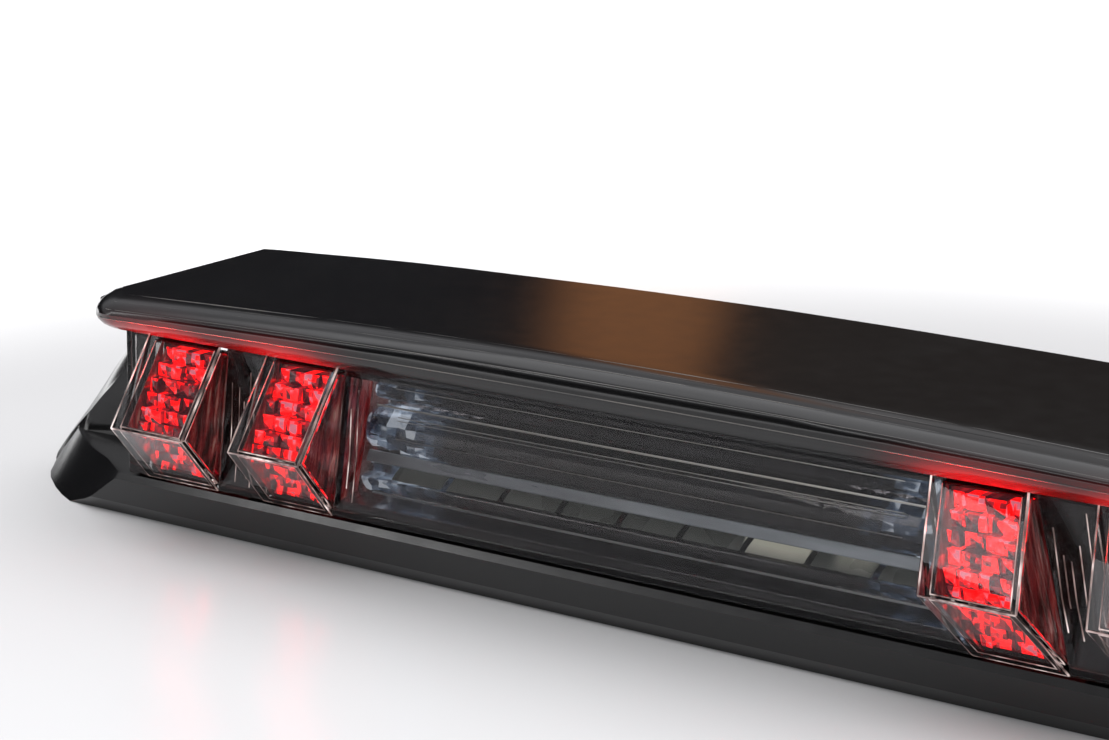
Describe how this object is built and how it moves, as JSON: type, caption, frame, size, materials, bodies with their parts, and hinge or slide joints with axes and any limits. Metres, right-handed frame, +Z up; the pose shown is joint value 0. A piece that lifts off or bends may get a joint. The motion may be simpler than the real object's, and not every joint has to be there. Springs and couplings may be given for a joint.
{
  "type": "third brake light",
  "caption": "Long visored roof-edge lamp with four red brake modules behind wedge-shaped lens boxes and a central row of clear light bars.",
  "frame": {"origin": "bottom centre of the lamp's box, under the flat foot of the skirt", "axes": "+X along the lamp to its right-hand end as seen from behind the vehicle, +Z up, lenses facing -Y"},
  "size_m": [0.451, 0.0918, 0.0689],
  "materials": {
    "gloss_black": "moulded gloss black",
    "matte_black": "fine-grained black",
    "gasket_rubber": "closed-cell foam",
    "smoked_lens": "clear, lightly smoked",
    "clear_optic": "clear, ribbed",
    "red_optic": "polished transparent red",
    "reflector_silver": "vacuum metallised",
    "board_green": "solder mask",
    "led_amber": "moulded epoxy",
    "pin_brass": "tinned brass",
    "screw_steel": "zinc plated"
  },
  "bodies": {
    "lamp": {"housing_shell": "gloss_black", "rear_cover": "matte_black", "perimeter_gasket": "gasket_rubber", "outer_lens": "smoked_lens", "inner_bezel": "gloss_black", "brake_optic_1": "red_optic", "brake_reflector_1": "reflector_silver", "brake_led_board_1": "board_green", "brake_led_1_1": "led_amber", "brake_led_1_2": "led_amber", "brake_led_1_3": "led_amber", "brake_optic_2": "red_optic", "brake_reflector_2": "reflector_silver", "brake_led_board_2": "board_green", "brake_led_2_1": "led_amber", "brake_led_2_2": "led_amber", "brake_led_2_3": "led_amber", "brake_optic_3": "red_optic", "brake_reflector_3": "reflector_silver", "brake_led_board_3": "board_green", "brake_led_3_1": "led_amber", "brake_led_3_2": "led_amber", "brake_led_3_3": "led_amber", "brake_optic_4": "red_optic", "brake_reflector_4": "reflector_silver", "brake_led_board_4": "board_green", "brake_led_4_1": "led_amber", "brake_led_4_2": "led_amber", "brake_led_4_3": "led_amber", "cargo_reflector": "reflector_silver", "light_bar_upper": "clear_optic", "light_bar_middle": "clear_optic", "light_bar_lower": "clear_optic", "cargo_led_board": "board_green", "cargo_led_1": "led_amber", "cargo_led_2": "led_amber", "cargo_led_3": "led_amber", "cargo_led_4": "led_amber", "cargo_led_5": "led_amber", "cargo_led_6": "led_amber", "driver_board": "board_green", "connector_socket": "matte_black", "connector_pin_1": "pin_brass", "connector_pin_2": "pin_brass", "connector_pin_3": "pin_brass", "connector_pin_4": "pin_brass", "vent_plug": "matte_black", "cover_screw_1": "screw_steel", "cover_screw_2": "screw_steel", "cover_screw_3": "screw_steel", "cover_screw_4": "screw_steel", "mounting_washer_left": "screw_steel", "mounting_washer_right": "screw_steel"},
    "mounting_screw_left": {"mounting_screw_left": "screw_steel"},
    "mounting_screw_right": {"mounting_screw_right": "screw_steel"}
  },
  "joints": [
    {"name": "turn_left_screw", "type": "hinge", "parent": "lamp", "child": "mounting_screw_left", "pos_m": [-0.1815, 0.01143, 0.0178], "axis": [0, -0.8231, 0.5679], "continuous": true},
    {"name": "turn_right_screw", "type": "hinge", "parent": "lamp", "child": "mounting_screw_right", "pos_m": [0.1815, 0.01143, 0.0178], "axis": [0, -0.8231, 0.5679], "continuous": true}
  ]
}
